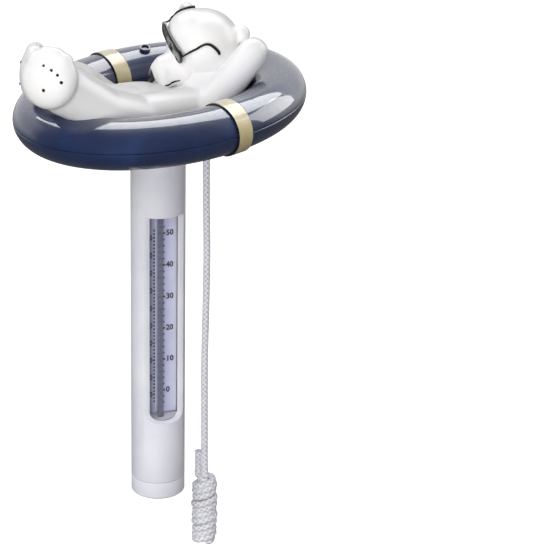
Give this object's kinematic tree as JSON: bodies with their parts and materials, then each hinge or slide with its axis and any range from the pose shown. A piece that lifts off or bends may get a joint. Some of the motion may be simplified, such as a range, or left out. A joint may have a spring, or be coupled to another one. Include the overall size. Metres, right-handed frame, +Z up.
{
  "type": "floating pool thermometer",
  "caption": "Floating pool thermometer: a white polar bear with sunglasses lying in a navy swim ring, over a tube with a Celsius and Fahrenheit scale.",
  "frame": {"origin": "on the tube's axis at the waterline, about half way up the swim ring", "axes": "+Z up along the tube; +X from the bear's feet to its head; +Y to the bear's right side"},
  "size_m": [0.1414, 0.113, 0.2608],
  "materials": {
    "navy_enamel": "moulded resin under glossy navy paint",
    "cream_enamel": "glossy cream paint with a dark edge line",
    "white_resin": "glossy white painted resin",
    "black_enamel": "glossy black enamel",
    "smoke_lens": "tinted clear plastic",
    "white_plastic": "moulded white ABS, satin gloss",
    "seal_rubber": "black nitrile",
    "clear_styrene": "clear moulded styrene",
    "clear_glass": "clear drawn glass",
    "printed_card": "blue-grey printed plastic sheet",
    "dyed_spirit": "dark blue dyed spirit",
    "steel_ballast": "turned steel",
    "white_braid": "braided polyester cord"
  },
  "bodies": {
    "float": {"ring_upper_shell": "navy_enamel", "ring_lower_shell": "navy_enamel", "left_band": "cream_enamel", "right_band": "cream_enamel", "valve_boss": "navy_enamel", "valve_flap": "cream_enamel", "float_pan": "navy_enamel", "bear_body": "white_resin", "bear_head": "white_resin", "bear_nose": "black_enamel", "sunglasses_frame": "black_enamel", "left_lens": "smoke_lens", "right_lens": "smoke_lens", "left_temple": "black_enamel", "right_temple": "black_enamel", "socket_collar": "white_plastic", "socket_seal": "seal_rubber", "top_plug": "white_plastic", "tube_body": "white_plastic", "clear_sleeve": "clear_styrene", "scale_card": "printed_card", "glass_stem": "clear_glass", "upper_stem_clip": "white_plastic", "lower_stem_clip": "white_plastic", "ballast_weight": "steel_ballast", "cord_eye": "white_plastic"},
    "cap": {"end_cap": "white_plastic", "cap_seal": "seal_rubber"},
    "spirit": {"spirit_column": "dyed_spirit"},
    "cord_set": {"cord_knot": "white_braid", "cord": "white_braid", "cord_hank": "white_braid", "cord_tail": "white_braid"}
  },
  "joints": [
    {"name": "cap_pull", "type": "slide", "parent": "float", "child": "cap", "axis": [0, 0, -1], "range_m": [0, 0.02]},
    {"name": "spirit_rise", "type": "slide", "parent": "float", "child": "spirit", "axis": [0, 0, 1], "range_m": [-0.011, 0.011]},
    {"name": "cord_swing", "type": "hinge", "parent": "float", "child": "cord_set", "pos_m": [0.0265, 0, -0.016], "axis": [1, 0, 0], "range_deg": [-40, 40]}
  ]
}
